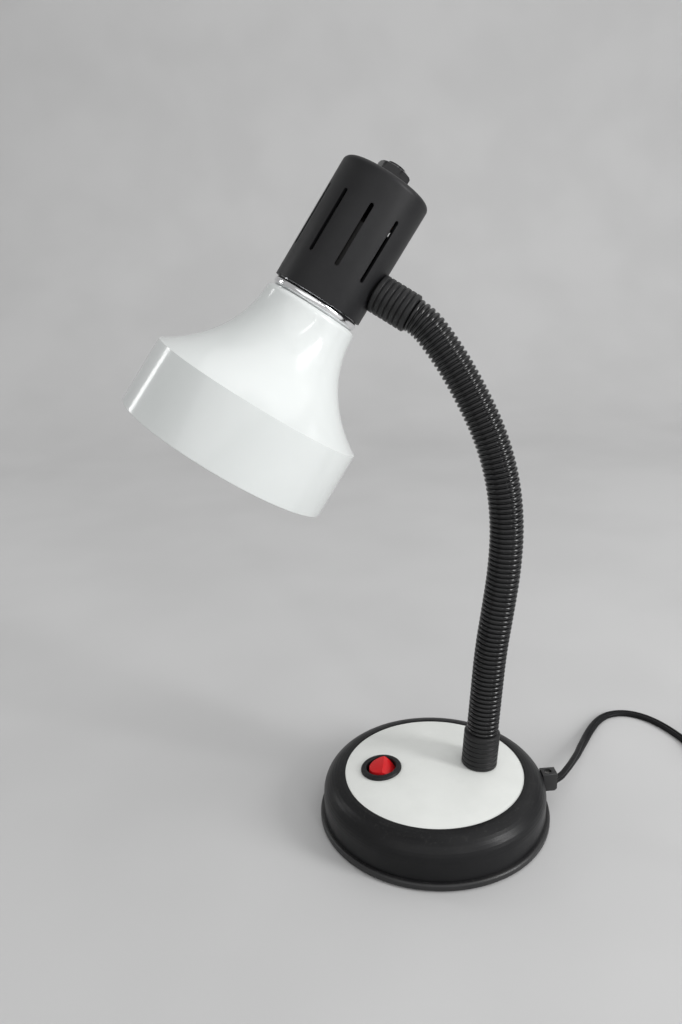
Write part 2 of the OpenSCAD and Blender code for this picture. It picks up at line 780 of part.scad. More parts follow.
module head_leads() {
    color("sienna") at_head() for (y = [-1, 1]) wire([
        [23, y * 1.5, 0], [19.6, y * 1.5, 0.1], [18.5, y * 1.7, 1.2], [18.3, y * 2.4, 5],
        [18.4, y * 4, 22], [17.5, y * 4, 31], [14, y * 4, 33.6], [11.4, y * 4, 32.4], [11, y * 4, 26]
    ], [0, 1, 0]);
}

// Outline of the bulb's glass, outside at off = 0
function bulb_line(off) = concat(
    [[12.3 - off, -27], [12.55 - off, -34.2]],
    [for (i = [0 : 8]) bezier([
        [13.2 - off, -36], [15 - off, -47], [bulb_r - 2 - off, -56], [bulb_r - off, bulb_tip + bulb_r]
    ], i / 8)],
    arc(0, bulb_tip + bulb_r, bulb_r - off, -8, -90, 10)
);

module bulb_glass() {
    color("white", 0.9) at_head() turned(concat(bulb_line(0), reversed(bulb_line(1))));
}

module bulb_cap() {
    pitch = 3.6;
    color("silver") at_head() turned(concat(
        [[0, -2], [4.5, -2], [5, -3.2], [9, -5.5], [12, -8]],
        [for (i = [0 : 4]) each [
            [12.2, -9 - i * pitch], [cap_r, -9.9 - i * pitch], [cap_r, -10.8 - i * pitch],
            [12.2, -11.7 - i * pitch]
        ]],
        [[cap_r, -28], [cap_r, -34], [12.7, -34], [12.4, -26.5], [0, -26.5]]
    ));
}

base_cover();
top_disc();
base_plate();
foam_pad();
ballast_weight();
ballast_bolt();
base_screws();
terminal_block();
base_leads();
switch_body();
switch_terminals();
rocker_button();
cord_clamp();
clamp_screw();
cord_run();
cord_coil();
cord_tail();
cord_tie();
plug_body();
plug_pins();
lower_collar();
lower_ferrule();
lower_washer();
lower_nut();
sleeve(0);  // sleeve_0
sleeve(1);  // sleeve_1
sleeve(2);  // sleeve_2
sleeve(3);  // sleeve_3
sleeve(4);  // sleeve_4
sleeve(5);  // sleeve_5
sleeve(6);  // sleeve_6
sleeve(7);  // sleeve_7
sleeve(8);  // sleeve_8
sleeve(9);  // sleeve_9
sleeve(10);  // sleeve_10
spiral(1);  // spiral_1
spiral(2);  // spiral_2
spiral(3);  // spiral_3
spiral(4);  // spiral_4
spiral(5);  // spiral_5
spiral(6);  // spiral_6
spiral(7);  // spiral_7
spiral(8);  // spiral_8
spiral(9);  // spiral_9
spiral(10);  // spiral_10
upper_collar();
upper_ferrule();
upper_nut();
lamp_housing();
top_washer();
top_nut();
holder_nipple();
lampholder();
lampholder_shell();
chrome_ring();
lamp_shade();
shade_ring();
head_leads();
bulb_glass();
bulb_cap();
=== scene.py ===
"""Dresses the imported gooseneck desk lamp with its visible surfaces, floor, lights and camera."""

from __future__ import annotations

import logging
from dataclasses import dataclass
from enum import Enum
from math import acos, asin, cos, degrees, pi, radians, sin, sqrt
from typing import Sequence

import bmesh
import bpy
from bpy.types import ID, Material, Mesh, NodeSocket, Object
from mathutils import Matrix, Vector


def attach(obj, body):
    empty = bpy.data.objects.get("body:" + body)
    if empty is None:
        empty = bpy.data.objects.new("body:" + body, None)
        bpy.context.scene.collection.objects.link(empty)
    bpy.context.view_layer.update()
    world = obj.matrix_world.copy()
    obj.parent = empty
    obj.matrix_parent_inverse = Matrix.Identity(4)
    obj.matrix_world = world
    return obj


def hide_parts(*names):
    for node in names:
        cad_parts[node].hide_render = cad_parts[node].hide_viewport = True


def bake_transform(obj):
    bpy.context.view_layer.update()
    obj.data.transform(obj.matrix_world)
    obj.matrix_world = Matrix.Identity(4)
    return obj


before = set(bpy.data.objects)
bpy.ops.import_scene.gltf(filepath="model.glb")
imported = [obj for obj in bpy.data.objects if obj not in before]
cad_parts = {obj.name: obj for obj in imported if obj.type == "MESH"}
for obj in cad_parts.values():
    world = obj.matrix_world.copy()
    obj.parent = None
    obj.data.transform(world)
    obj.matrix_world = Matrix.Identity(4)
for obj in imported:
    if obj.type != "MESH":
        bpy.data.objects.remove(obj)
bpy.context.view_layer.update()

MM = 0.001
WELD = 1e-7
log = logging.getLogger("lamp")

Point2 = tuple[float, float]
Point3 = tuple[float, float, float]
Point4 = tuple[float, float, float, float]
Rgb = tuple[float, float, float]


# ---- Objects and camera ----


def linked(name: str, data: ID) -> Object:
    """Makes an object of a mesh, light or camera and links it into the scene.

    Args:
        name: Name of the object.
        data: What it shows.

    Returns:
        The object.
    """
    made = bpy.data.objects.new(name, data)
    bpy.context.scene.collection.objects.link(made)
    return made


@dataclass(frozen=True)
class Viewpoint:
    """A camera given by its place and its three axes, in millimetres.

    Attributes:
        place: Where the camera stands.
        forward: Direction that it looks in.
        up: Direction of the frame's upper side.
        focal_px: Focal length in pixels of the image.
        frame_px: Width and height of the image.
        sensor_mm: Width of the sensor that the lens is given for.
    """

    place: Point3 = (-83.14, -437.39, 344.2)
    forward: Point3 = (0.0701, 0.9464, -0.3152)
    up: Point3 = (0.0613, 0.3113, 0.9483)
    focal_px: float = 850.0
    frame_px: tuple[int, int] = (682, 1024)
    sensor_mm: float = 36.0

    def build(self) -> None:
        """Makes the camera and sets it as the scene's."""
        data = bpy.data.cameras.new("view")
        data.sensor_fit = "AUTO"
        data.sensor_width = self.sensor_mm
        data.lens = self.focal_px / max(self.frame_px) * self.sensor_mm
        data.clip_start, data.clip_end = 0.01, 20.0
        back = -Vector(self.forward).normalized()
        right = Vector(self.up).cross(back).normalized()
        top = back.cross(right)
        turn = Matrix((right, top, back)).transposed().to_4x4()
        camera = linked("view", data)
        camera.matrix_world = Matrix.Translation(Vector(self.place) * MM) @ turn
        bpy.context.scene.camera = camera
        log.info("camera at %s mm", self.place)


# ---- Shader graphs ----


class Value:
    """A shader socket that takes part in arithmetic; numbers and colours mix freely with it."""

    def __init__(self, graph: Graph, socket: NodeSocket) -> None:
        """Wraps a socket of a graph."""
        self.graph = graph
        self.socket = socket

    def _math(self, kind: str, *terms: Value | float) -> Value:
        """Result of a Math node of one kind, fed with the terms in order."""
        return self.graph.node("ShaderNodeMath", dict(enumerate(terms)), operation=kind)

    def __add__(self, other: Value | float) -> Value:
        """The sum."""
        return self._math("ADD", self, other)

    def __rsub__(self, other: float) -> Value:
        """A number less this value."""
        return self._math("SUBTRACT", other, self)

    def __mul__(self, other: Value | float) -> Value:
        """The product."""
        return self._math("MULTIPLY", self, other)

    def band(self, low: float, high: float) -> Value:
        """A smooth step from 0 at low to 1 at high."""
        inputs = {"Value": self, "From Min": low, "From Max": high}
        return self.graph.node("ShaderNodeMapRange", inputs, "Result", interpolation_type="SMOOTHSTEP")

    def blend(self, first: Value | Rgb, second: Value | Rgb) -> Value:
        """Two colours mixed, with this value as the share of the second."""
        return self.graph.node("ShaderNodeMix", {0: self, 6: first, 7: second}, 2, data_type="RGBA")


class Graph:
    """One material's node tree, with its shader and output in place."""

    def __init__(self, name: str) -> None:
        """Makes the material of that name."""
        self.material = bpy.data.materials.new(name)
        self.material.use_nodes = True
        self.tree = self.material.node_tree
        self.tree.nodes.clear()
        self.shader = self.tree.nodes.new("ShaderNodeBsdfPrincipled")
        output = self.tree.nodes.new("ShaderNodeOutputMaterial")
        self.tree.links.new(self.shader.outputs[0], output.inputs[0])

    def node(
        self, kind: str, inputs: dict[str | int, object], output: str | int = 0, **settings: object
    ) -> Value:
        """Adds a node.

        Args:
            kind: The node's type.
            inputs: Socket values or links, by name or number.
            output: The output that is wanted.
            settings: Properties, set before the sockets.

        Returns:
            That output.
        """
        made = self.tree.nodes.new(kind)
        for key, setting in settings.items():
            setattr(made, key, setting)
        for key, given in inputs.items():
            self.feed(made.inputs[key], given)
        return Value(self, made.outputs[output])

    def feed(self, socket: NodeSocket, given: object) -> None:
        """Links a value to a socket, or sets the socket's own number or colour.

        Args:
            socket: The socket to fill.
            given: A Value, a number, or a colour or vector.
        """
        if isinstance(given, Value):
            self.tree.links.new(given.socket, socket)
        elif isinstance(given, tuple) and socket.type == "RGBA":
            socket.default_value = (*given, 1.0)
        else:
            socket.default_value = given

    def set(self, **inputs: object) -> None:
        """Fills the shader's sockets by name; an underscore stands for a space."""
        for key, given in inputs.items():
            self.feed(self.shader.inputs[key.replace("_", " ")], given)

    def place(self, stretch: Point3 = (1.0, 1.0, 1.0)) -> Value:
        """Coordinates fixed to the piece, scaled along each axis."""
        coords = self.node("ShaderNodeTexCoord", {}, "Object")
        return self.node("ShaderNodeMapping", {"Vector": coords, "Scale": stretch})

    def noise(self, scale: float, detail: float = 3.0, rough: float = 0.5, at: Value | None = None) -> Value:
        """Noise in the range 0 to 1.

        Args:
            scale: Cells to the metre.
            detail: Number of finer layers.
            rough: Weight of the finer layers.
            at: Coordinates, if not the piece's own.

        Returns:
            The noise.
        """
        inputs = {"Vector": at or self.place(), "Scale": scale, "Detail": detail, "Roughness": rough}
        return self.node("ShaderNodeTexNoise", inputs)

    def specks(self, scale: float, size: float) -> Value:
        """1 in small separate dots; the size is a share of a cell, the scale cells to the metre."""
        cells = self.node("ShaderNodeTexVoronoi", {"Vector": self.place(), "Scale": scale}, "Distance")
        return 1.0 - cells.band(size * 0.5, size)

    def facing_up(self) -> Value:
        """1 where the surface looks up, 0 where it stands or looks down."""
        normal = self.node("ShaderNodeNewGeometry", {}, "Normal")
        return self.node("ShaderNodeSeparateXYZ", {0: normal}, "Z").band(0.35, 1.0)

    def bump(self, height: Value, depth: float) -> None:
        """Feeds the shader's normal from a height of 0 to 1 and its depth in metres."""
        self.set(Normal=self.node("ShaderNodeBump", {"Height": height, "Distance": depth}))


# ---- Finishes ----

DUST: Rgb = (0.42, 0.4, 0.37)
SPECK: Rgb = (0.42, 0.4, 0.36)


@dataclass(frozen=True)
class Finish:
    """A surface with colour mottling, fine grain, uneven gloss and a little dust.

    Attributes:
        name, slot: Name of the material, and the record's slot that it stands for; the slot is not used.
        color, shade: Main colour, and the colour that is mottled into it.
        rough, smudge: Roughness, and how far it varies.
        grain, depth: Grain cells to the metre, and depth of the grain in metres.
        dust: Share of dust on upward faces.
        coat, coat_rough: Weight and roughness of the clear coat.
        specular: Strength of the plain reflection.
    """

    name: str
    slot: str
    color: Rgb
    shade: Rgb
    rough: float
    smudge: float = 0.08
    grain: float = 2600.0
    depth: float = 0.00002
    dust: float = 0.0
    coat: float = 0.0
    coat_rough: float = 0.08
    specular: float = 0.5

    def paint(self, graph: Graph) -> None:
        """Fills the graph of this finish.

        Args:
            graph: The material's graph.
        """
        mottle = graph.noise(38.0, detail=4.0, rough=0.6).band(0.3, 0.7)
        color = mottle.blend(self.color, self.shade)
        rough = graph.noise(90.0) * self.smudge + (self.rough - self.smudge / 2)
        if self.dust:
            lint = graph.facing_up() * graph.noise(420.0, detail=5.0, rough=0.7).band(0.52, 0.8) * self.dust
            color = lint.blend(color, DUST)
            rough = rough + lint * 0.3
        graph.set(Base_Color=color, Roughness=rough)
        self.gloss(graph)
        graph.bump(graph.noise(self.grain, detail=2.0), self.depth)

    def gloss(self, graph: Graph) -> None:
        """Sets the clear coat and the plain reflection."""
        graph.set(Coat_Weight=self.coat, Coat_Roughness=self.coat_rough, Specular_IOR_Level=self.specular)

    def build(self) -> Material:
        """The finished material."""
        graph = Graph(self.name)
        self.paint(graph)
        return graph.material


@dataclass(frozen=True)
class Metal(Finish):
    """Bare or plated metal with fine scratches.

    Attributes:
        scratch: Depth of the scratches in metres.
        stretch: Scale of the scratches along each axis.
    """

    scratch: float = 0.000004
    stretch: Point3 = (1.0, 1.0, 14.0)

    def paint(self, graph: Graph) -> None:
        """Fills the graph with a metal shader.

        Args:
            graph: The material's graph.
        """
        lines = graph.noise(900.0, detail=4.0, rough=0.7, at=graph.place(self.stretch))
        stain = graph.noise(160.0, detail=4.0, rough=0.6).band(0.35, 0.75)
        graph.set(Base_Color=stain.blend(self.color, self.shade), Metallic=1.0)
        graph.set(Roughness=lines * self.smudge + stain * self.smudge * 0.5 + self.rough)
        graph.bump(lines, self.scratch)


@dataclass(frozen=True)
class Enamel(Finish):
    """Glossy sprayed paint with a faint orange peel and a few specks."""

    def paint(self, graph: Graph) -> None:
        """Fills the graph with a paint shader.

        Args:
            graph: The material's graph.
        """
        mottle = graph.noise(22.0).band(0.3, 0.75)
        marks = graph.specks(210.0, 0.055) * graph.noise(60.0).band(0.55, 0.7)
        color = (marks * 0.35).blend(mottle.blend(self.color, self.shade), SPECK)
        rough = graph.noise(70.0, detail=4.0) * self.smudge + self.rough + marks * 0.2
        graph.set(Base_Color=color, Roughness=rough)
        self.gloss(graph)
        peel = graph.noise(650.0, detail=2.0) + graph.noise(60.0, detail=1.0) * 2.0
        graph.bump(peel, self.depth)


@dataclass(frozen=True)
class Glass(Finish):
    """Frosted glass, drawn as a pale coated shell."""

    def paint(self, graph: Graph) -> None:
        """Fills the graph with a frosted shader.

        Args:
            graph: The material's graph.
        """
        cloud = graph.noise(55.0).band(0.3, 0.7)
        graph.set(Base_Color=cloud.blend(self.color, self.shade))
        graph.set(Roughness=graph.noise(300.0) * 0.1 + self.rough)
        self.gloss(graph)
        graph.set(Subsurface_Weight=0.3, Subsurface_Radius=(0.01, 0.01, 0.01))
        graph.bump(graph.noise(2400.0, detail=2.0), self.depth)


class Look(Enum):
    """Every finish of the lamp."""

    COVER = Finish("cover_plastic", "black_cover", (0.007, 0.0072, 0.0078), (0.01, 0.01, 0.0107), 0.36,
                   smudge=0.12, grain=3400.0, depth=0.000025, dust=0.05, specular=0.2)
    DISC = Finish("disc_paint", "white_disc", (0.76, 0.775, 0.75), (0.72, 0.735, 0.71), 0.42,
                  smudge=0.1, grain=1400.0, depth=0.00001, dust=0.04)
    FLANGE = Finish("flange_paint", "black_flange", (0.011, 0.011, 0.012), (0.016, 0.016, 0.016), 0.4,
                    dust=0.1)
    FOAM = Finish("foam_sheet", "foam", (0.02, 0.02, 0.02), (0.035, 0.035, 0.035), 0.95,
                  grain=900.0, depth=0.0002)
    IRON = Finish("iron_casting", "cast_iron", (0.09, 0.088, 0.085), (0.14, 0.12, 0.1), 0.8,
                  grain=700.0, depth=0.0003)
    ZINC = Metal("zinc_plate", "zinc", (0.62, 0.62, 0.6), (0.5, 0.5, 0.47), 0.28, smudge=0.2)
    BLOCK = Finish("block_moulding", "block_plastic", (0.62, 0.58, 0.48), (0.56, 0.52, 0.42), 0.45)
    WIRE = Finish("wire_sleeve", "brown_wire", (0.16, 0.06, 0.025), (0.2, 0.08, 0.03), 0.4)
    BEZEL = Finish("switch_plastic", "switch_black", (0.009, 0.009, 0.01), (0.013, 0.013, 0.014), 0.42,
                   dust=0.04, specular=0.22)
    BRASS = Metal("brass_sheet", "brass", (0.72, 0.5, 0.2), (0.55, 0.36, 0.14), 0.25, smudge=0.2)
    ROCKER = Finish("rocker_plastic", "red_button", (0.6, 0.014, 0.018), (0.54, 0.012, 0.016), 0.26,
                    grain=3000.0, depth=0.000008, specular=0.2)
    CLAMP = Finish("clamp_plastic", "clamp_black", (0.014, 0.014, 0.015), (0.02, 0.02, 0.02), 0.38, dust=0.1)
    CORD = Finish("cord_sheath", "black_cord", (0.008, 0.008, 0.009), (0.012, 0.012, 0.0125), 0.4,
                  smudge=0.14, grain=2200.0, depth=0.00004, dust=0.03, specular=0.1)
    TIE = Finish("tie_plastic", "tie_black", (0.02, 0.02, 0.02), (0.03, 0.03, 0.03), 0.4)
    PLUG = Finish("plug_moulding", "plug_black", (0.014, 0.014, 0.015), (0.02, 0.02, 0.021), 0.42,
                  grain=1800.0, depth=0.00005, dust=0.1)
    NICKEL = Metal("nickel_plate", "nickel", (0.68, 0.66, 0.6), (0.58, 0.56, 0.5), 0.16, smudge=0.15)
    COLLAR = Finish("collar_rubber", "collar_black", (0.01, 0.01, 0.0107), (0.015, 0.015, 0.0155), 0.42,
                    smudge=0.12, grain=2800.0, depth=0.00003, dust=0.05, specular=0.28)
    SLEEVE = Finish("ribbed_sleeve", "neck_sleeve", (0.006, 0.006, 0.0065), (0.009, 0.009, 0.0095), 0.17,
                    grain=1500.0, depth=0.000004, dust=0.03, specular=0.4)
    STEEL = Metal("coiled_steel", "spring_steel", (0.4, 0.4, 0.4), (0.3, 0.28, 0.26), 0.35, smudge=0.2)
    HOUSING = Finish("housing_paint", "black_paint", (0.009, 0.009, 0.01), (0.013, 0.013, 0.014), 0.46,
                     smudge=0.1, grain=2400.0, depth=0.00003, dust=0.04, specular=0.26)
    NUT = Finish("nut_enamel", "black_nut", (0.008, 0.008, 0.009), (0.012, 0.012, 0.013), 0.14,
                 coat=0.15, coat_rough=0.06, grain=1200.0, depth=0.00001, specular=0.3)
    BAKELITE = Finish("holder_bakelite", "bakelite", (0.014, 0.013, 0.012), (0.02, 0.018, 0.017), 0.35,
                      specular=0.3)
    CHROME = Metal("chrome", "chrome_trim", (0.88, 0.88, 0.89), (0.8, 0.81, 0.82), 0.09,
                   scratch=0.000002, stretch=(1.0, 1.0, 1.0))
    SHADE = Enamel("shade_enamel", "white_paint", (0.695, 0.72, 0.712), (0.66, 0.685, 0.677), 0.14,
                   depth=0.000012, coat=0.3, coat_rough=0.04, specular=0.3)
    RING = Enamel("ring_plastic", "white_ring", (0.74, 0.75, 0.72), (0.7, 0.71, 0.68), 0.25, depth=0.00001)
    BULB = Glass("bulb_glass", "frosted_glass", (0.86, 0.86, 0.83), (0.8, 0.8, 0.77), 0.25,
                 depth=0.00001, coat=0.6)
    CAP = Metal("cap_metal", "bulb_metal", (0.72, 0.72, 0.72), (0.6, 0.6, 0.58), 0.25, smudge=0.15)

    @property
    def material(self) -> Material:
        """The material of this finish, made on first use."""
        return bpy.data.materials.get(self.value.name) or self.value.build()


# ---- Geometry helpers ----


def piece(
    name: str, mesh: Mesh, look: Look, *nodes: str, body: str = "", crease: float = 35.0
) -> Object:
    """Shows a mesh as a smooth piece with a finish, in place of CAD nodes.

    Args:
        name: Name of the piece.
        mesh: Its mesh, in metres in the row frame.
        look: Its finish.
        nodes: Nodes that it stands for.
        body: Body that it rides on, if it is rigid.
        crease: Angle in degrees above which an edge stays sharp.

    Returns:
        The object.
    """
    mesh.shade_smooth()
    mesh.set_sharp_from_angle(angle=radians(crease))
    mesh.materials.append(look.material)
    made = linked(name, mesh)
    if body:
        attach(made, body)
    if nodes:
        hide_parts(*nodes)
    log.info("built %s", name)
    return made


def grid_mesh(
    name: str, rings: Sequence[Sequence[Vector]], loop: bool = True, shut: bool = True, cap: bool = False
) -> Mesh:
    """Joins rings of points into a skin.

    Args:
        name: Name of the mesh.
        rings: Rings with the same number of points, in metres.
        loop: Whether each ring closes on itself.
        shut: Whether the last ring joins the first.
        cap: Whether both ends are filled.

    Returns:
        The mesh.
    """
    count = len(rings[0])
    faces: list[tuple[int, ...]] = []
    for i in range(len(rings) if shut else len(rings) - 1):
        j = (i + 1) % len(rings)
        for a in range(count if loop else count - 1):
            b = (a + 1) % count
            faces.append((i * count + a, i * count + b, j * count + b, j * count + a))
    if cap:
        faces.append(tuple(reversed(range(count))))
        faces.append(tuple(range((len(rings) - 1) * count, len(rings) * count)))
    mesh = bpy.data.meshes.new(name)
    mesh.from_pydata([p for ring in rings for p in ring], [], faces)
    work = bmesh.new()
    work.from_mesh(mesh)
    bmesh.ops.remove_doubles(work, verts=work.verts, dist=WELD)
    bmesh.ops.recalc_face_normals(work, faces=work.faces)
    work.to_mesh(mesh)
    work.free()
    return mesh


def circle(steps: int) -> list[float]:
    """Angles of a whole turn, in equal steps."""
    return [2 * pi * i / steps for i in range(steps)]


def polar(r: float, a: float, z: float) -> Vector:
    """A point in metres at a radius, angle and height given in millimetres."""
    return Vector((r * cos(a), r * sin(a), z)) * MM


def lathe(name: str, outline: Sequence[Point2], place: Matrix, steps: int = 128) -> Mesh:
    """Turns a closed outline about the Z axis of a place.

    Args:
        name: Name of the mesh.
        outline: Radius and height of each corner, in millimetres, in order round the section.
        place: Where the axis stands.
        steps: Points to a turn.

    Returns:
        The mesh.
    """
    return grid_mesh(name, [[place @ polar(r, a, z) for r, z in outline] for a in circle(steps)])


def rounded(outline: Sequence[Point2], radii: Sequence[float], steps: int = 4) -> list[Point2]:
    """Rounds the corners of a closed outline; a corner on the axis stays as it is.

    Args:
        outline: The corners.
        radii: A radius for each corner.
        steps: Points to a corner.

    Returns:
        The rounded outline.
    """
    count = len(outline)
    result: list[Point2] = []
    for i, corner in enumerate(outline):
        here = Vector(corner)
        before = Vector(outline[i - 1]) - here
        after = Vector(outline[(i + 1) % count]) - here
        reach = min(radii[i], before.length * 0.45, after.length * 0.45)
        if reach < 1e-4 or corner[0] < 1e-6:
            result.append(corner)
            continue
        start, end = here + before.normalized() * reach, here + after.normalized() * reach
        for k in range(steps + 1):
            t = k / steps
            bent = start * (1 - t) ** 2 + here * 2 * t * (1 - t) + end * t * t
            result.append((bent.x, bent.y))
    return result


def modified(mesh: Mesh, kind: str, **settings: object) -> Mesh:
    """Runs one modifier on a mesh and keeps its result.

    Args:
        mesh: The mesh.
        kind: The modifier's type.
        settings: Its properties.

    Returns:
        The new mesh.
    """
    holder = linked("holder", mesh)
    modifier = holder.modifiers.new("modifier", kind)
    for key, setting in settings.items():
        setattr(modifier, key, setting)
    seen = holder.evaluated_get(bpy.context.evaluated_depsgraph_get())
    result = bpy.data.meshes.new_from_object(seen)
    bpy.data.objects.remove(holder)
    return result


def beveled(mesh: Mesh, width: float, segments: int, angle: float) -> Mesh:
    """Rounds the edges of a mesh that are sharper than an angle in degrees; the width is in millimetres."""
    sharp = {"limit_method": "ANGLE", "angle_limit": radians(angle)}
    return modified(mesh, "BEVEL", width=width * MM, segments=segments, **sharp)


class Join(Enum):
    """How two meshes are combined."""

    CUT = "DIFFERENCE"
    COMMON = "INTERSECT"
    UNITE = "UNION"


def combined(mesh: Mesh, other: Mesh, how: Join) -> Mesh:
    """Cuts, intersects or unites two closed meshes.

    Args:
        mesh: The first mesh.
        other: The second mesh.
        how: What is done with them.

    Returns:
        The result.
    """
    tool = linked("tool", other)
    result = modified(mesh, "BOOLEAN", operation=how.value, solver="EXACT", object=tool)
    bpy.data.objects.remove(tool)
    return result


def prism(name: str, ends: Sequence[Sequence[Point3]]) -> Mesh:
    """Joins two loops of points, in millimetres, into a closed block."""
    rings = [[Vector(p) * MM for p in loop] for loop in ends]
    return grid_mesh(name, rings, shut=False, cap=True)


def joined(name: str, parts: Sequence[Mesh]) -> Mesh:
    """Puts separate blocks into one mesh.

    Args:
        name: Name of the mesh.
        parts: The blocks.

    Returns:
        The mesh.
    """
    work = bmesh.new()
    for part in parts:
        work.from_mesh(part)
    mesh = bpy.data.meshes.new(name)
    work.to_mesh(mesh)
    work.free()
    return mesh


def arc(cx: float, cy: float, r: float, a0: float, a1: float, steps: int) -> list[Point2]:
    """Points on a circle about (cx, cy) from one angle in degrees to another, in equal steps."""
    angles = [radians(a0 + (a1 - a0) * i / steps) for i in range(steps + 1)]
    return [(cx + r * cos(a), cy + r * sin(a)) for a in angles]


def bezier(p: Sequence[Point2], steps: int) -> list[Point2]:
    """Points of a cubic curve.

    Args:
        p: Its four control points.
        steps: Number of steps.

    Returns:
        The points, both ends included.
    """
    result = []
    for i in range(steps + 1):
        t = i / steps
        w = ((1 - t) ** 3, 3 * t * (1 - t) ** 2, 3 * t * t * (1 - t), t**3)
        result.append((sum(k * q[0] for k, q in zip(w, p)), sum(k * q[1] for k, q in zip(w, p))))
    return result


def smooth_path(points: Sequence[Point4], spacing: float) -> list[Vector]:
    """Follows a list of points with a smooth curve.

    Args:
        points: Points to pass through, in millimetres, each with a roll.
        spacing: Rough distance between the results.

    Returns:
        Points along the curve, with their rolls.
    """
    p = [Vector(q) for q in points]
    p = [p[0] * 2 - p[1], *p, p[-1] * 2 - p[-2]]
    result: list[Vector] = []
    for a, b, c, d in zip(p, p[1:], p[2:], p[3:]):
        n = max(1, round((c - b).to_3d().length / spacing))
        for i in range(n):
            t = i / n
            bend, twist = 2 * a - 5 * b + 4 * c - d, 3 * b - a - 3 * c + d
            result.append(0.5 * (2 * b + (c - a) * t + bend * t**2 + twist * t**3))
    result.append(p[-2])
    return result


Kept = tuple[tuple[str, Look], ...]


@dataclass(frozen=True)
class Part:
    """A sub-assembly: it builds its visible pieces and dresses the nodes that stay on show.

    Attributes:
        kept: Those nodes and their finishes.
    """

    kept: Kept = ()

    def build(self) -> None:
        """Builds nothing, for a part whose nodes all stay on show."""

    def dress(self) -> None:
        """Gives the nodes that stay on show their finishes."""
        for name, look in self.kept:
            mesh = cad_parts[name].data
            mesh.materials.clear()
            mesh.materials.append(look.material)
            log.info("dressed %s", name)


# ---- Frames of the lamp ----

DOME_HEIGHT = 4.0
DISC_R = 54.0
RIM_Z = 29.0
DOME_R = (DISC_R**2 + DOME_HEIGHT**2) / (2 * DOME_HEIGHT)
DOME_Z = RIM_Z + DOME_HEIGHT - DOME_R
NECK_X = 28.0
SWITCH_X = 32.0
HOUSING_R = 26.2
HEAD_ROLL = 15.2


def turned(axis: str, angle: float) -> Matrix:
    """A turn about one axis by an angle in degrees."""
    return Matrix.Rotation(radians(angle), 4, axis)


def on_dome(x: float, turn: float) -> Matrix:
    """Frame that stands square on the domed disc.

    Args:
        x: Distance from the middle of the base, in millimetres.
        turn: Turn about its own axis, in degrees.

    Returns:
        The frame, in metres.
    """
    z = DOME_Z + sqrt(DOME_R**2 - x * x)
    lean = Matrix.Rotation(asin(x / DOME_R), 4, "Y")
    return Matrix.Translation(Vector((x, 0, z)) * MM) @ lean @ turned("Z", turn)


@dataclass(frozen=True)
class NeckLine:
    """The line of the neck at rest.

    Attributes:
        turns: Angle in degrees that each stretch turns through.
        ribs: Number of ribs on each stretch.
        pitch: Distance from rib to rib.
        collar: Length of each end collar.
        azimuth: Direction that it leans in.
    """

    turns: tuple[float, ...] = (0, 0, -3.5, 0.5, 5, 8.5, 9.8, 9.8, 4.8, 7.7, 20.6)
    ribs: tuple[int, ...] = (5, 9, 9, 9, 9, 9, 9, 9, 9, 9, 5)
    pitch: float = 2.87
    collar: float = 22.4
    azimuth: float = 158.0

    def step(self, at: Point3, length: float, turn: float) -> Point3:
        """Follows an arc.

        Args:
            at: Start, as distance out, height and tangent angle.
            length: Length along the arc.
            turn: Angle that it turns through, in degrees.

        Returns:
            The end of the arc.
        """
        half = radians(turn) / 2
        chord = length if abs(half) < 1e-9 else length * sin(half) / half
        lean = radians(at[2]) + half
        return (at[0] + chord * sin(lean), at[1] + chord * cos(lean), at[2] + turn)

    def length(self, stretch: int) -> float:
        """Length of a stretch, in millimetres."""
        return self.ribs[stretch] * self.pitch

    def at(self, stretch: int, s: float) -> Matrix:
        """Frame on the neck's line, its Z axis along the line.

        Args:
            stretch: Number of the stretch.
            s: Distance along it.

        Returns:
            The frame, in metres.
        """
        here: Point3 = (0.0, self.collar, 0.0)
        for k in range(stretch):
            here = self.step(here, self.length(k), self.turns[k])
        here = self.step(here, s, self.turns[stretch] * s / self.length(stretch))
        return self.frame(here)

    def frame(self, here: Point3) -> Matrix:
        """Frame in metres at a place given as distance out, height and tangent angle."""
        return self.root() @ Matrix.Translation(Vector((here[0], 0, here[1])) * MM) @ turned("Y", here[2])

    def root(self) -> Matrix:
        """Frame of the neck's lower end."""
        return on_dome(NECK_X, self.azimuth)

    def end(self) -> Matrix:
        """Frame of the neck's upper end, at the housing."""
        last = len(self.turns) - 1
        return self.at(last, self.length(last)) @ Matrix.Translation((0, 0, self.collar * MM))


NECK = NeckLine()


def head_frame() -> Matrix:
    """Frame of the head: Z up its axis, X towards the neck, and the origin on the neck's axis."""
    turn = turned("Z", 180 + HEAD_ROLL) @ turned("Y", 90)
    return NECK.end() @ Matrix.Translation((0, 0, HOUSING_R * MM)) @ turn


# ---- Cord ----


